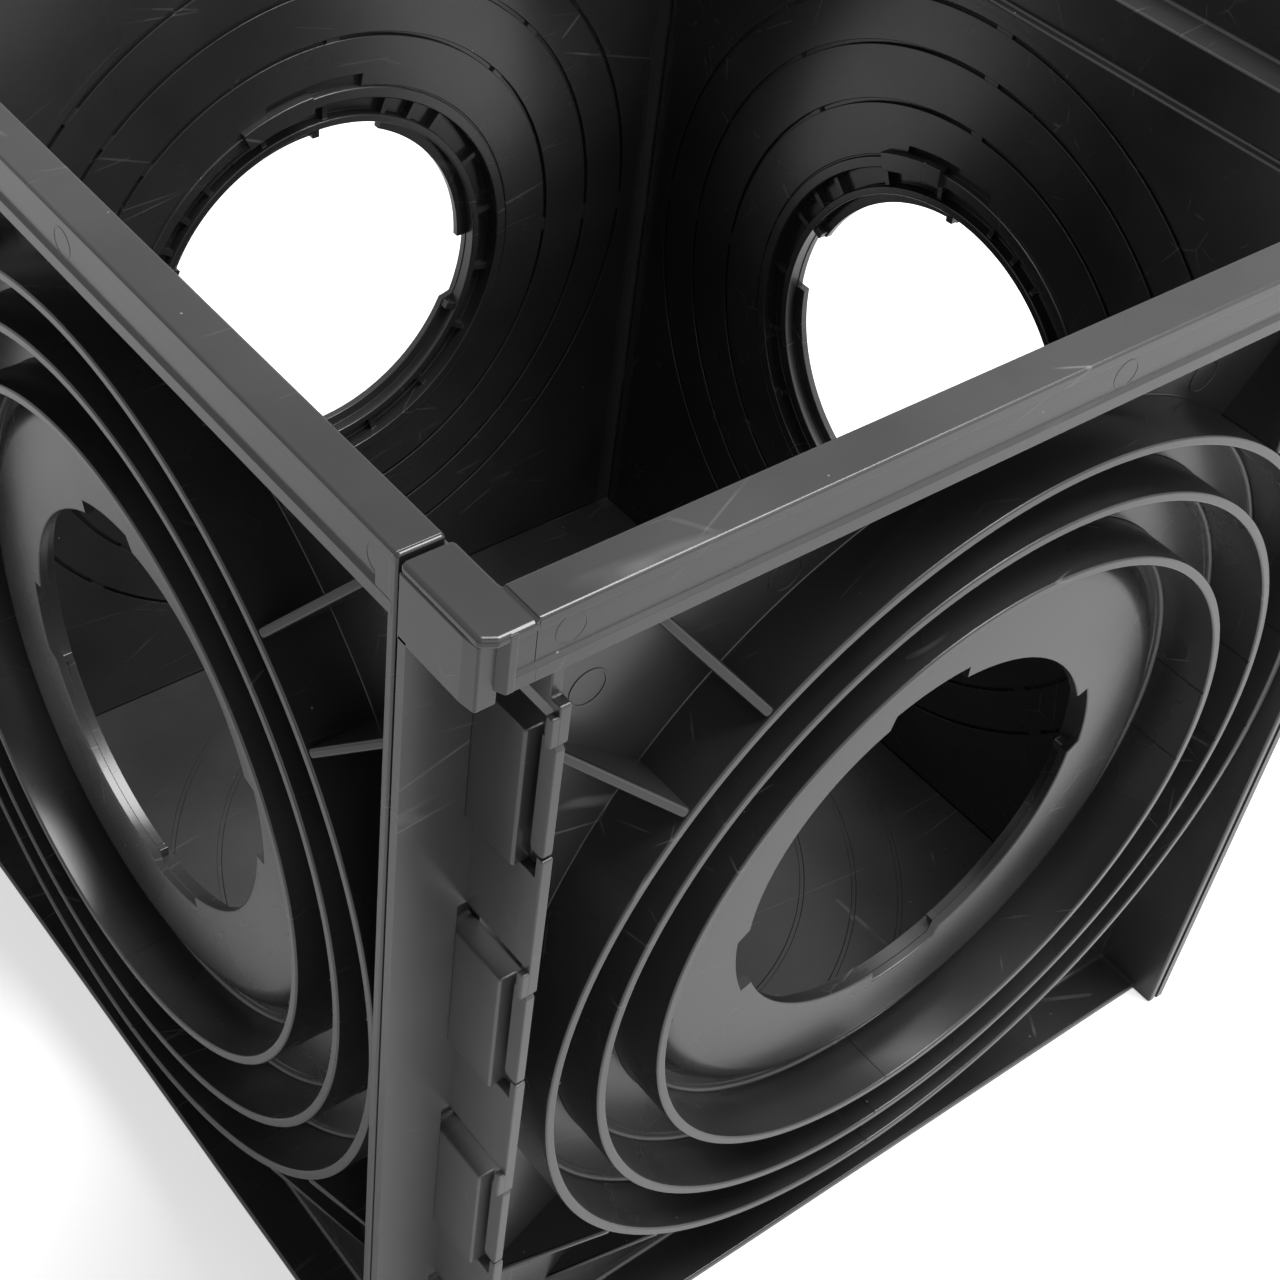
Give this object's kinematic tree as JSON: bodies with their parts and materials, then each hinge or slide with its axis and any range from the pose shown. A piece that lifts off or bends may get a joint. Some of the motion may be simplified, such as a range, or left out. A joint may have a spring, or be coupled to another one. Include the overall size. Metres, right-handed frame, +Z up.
{
  "type": "catch basin",
  "caption": "Square open-top plastic catch basin of clipped wall panels, each with stepped pipe collars round an open pipe hole, and a grate shelf inside the rim.",
  "frame": {"origin": "middle of the square box on the ground it stands on", "axes": "+Z up, X and Y square to the walls, -Y out of the front wall"},
  "size_m": [0.308, 0.308, 0.301],
  "materials": {
    "wall": "satin black polypropylene with fine scratches and dust",
    "floor": "satin black polypropylene with fine scratches and dust"
  },
  "bodies": {
    "root": {"wall_front": "wall", "wall_left": "wall", "wall_back": "wall", "wall_right": "wall", "floor_panel": "floor"}
  },
  "joints": []
}
